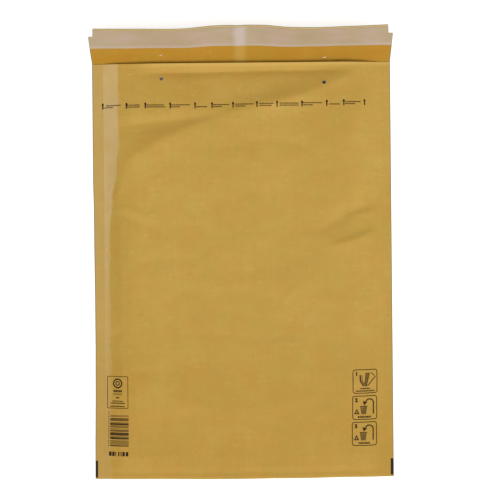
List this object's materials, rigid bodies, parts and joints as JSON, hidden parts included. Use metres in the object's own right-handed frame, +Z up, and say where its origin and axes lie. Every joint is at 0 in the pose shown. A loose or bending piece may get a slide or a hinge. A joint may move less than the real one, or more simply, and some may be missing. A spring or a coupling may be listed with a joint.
{
  "type": "padded envelope",
  "caption": "Large kraft padded envelope lying on its back, with a bubble-film pouch inside and an open self-seal flap that stands up from the mouth.",
  "frame": {"origin": "middle of the back panel, on the surface that the envelope lies on", "axes": "+X across the envelope, +Y from the bottom fold towards the flap, +Z up out of the printed front"},
  "size_m": [0.32, 0.4798, 0.0416],
  "materials": {
    "kraft_paper": "matt brown kraft paper",
    "bubble_film": "clear glossy film",
    "hot_melt": "tacky amber adhesive",
    "liner_film": "translucent pinkish-grey film",
    "ink": "dark brown ink"
  },
  "bodies": {
    "root": {"paper_sleeve": "kraft_paper", "bubble_lining": "bubble_film", "closure_adhesive": "hot_melt", "release_liner": "liner_film", "opening_line_print": "ink", "label_frame_print": "ink", "code_bars_print": "ink", "corner_bar_left_print": "ink", "corner_bar_right_print": "ink", "disposal_print_1": "ink", "disposal_print_2": "ink", "disposal_print_3": "ink"}
  },
  "joints": []
}
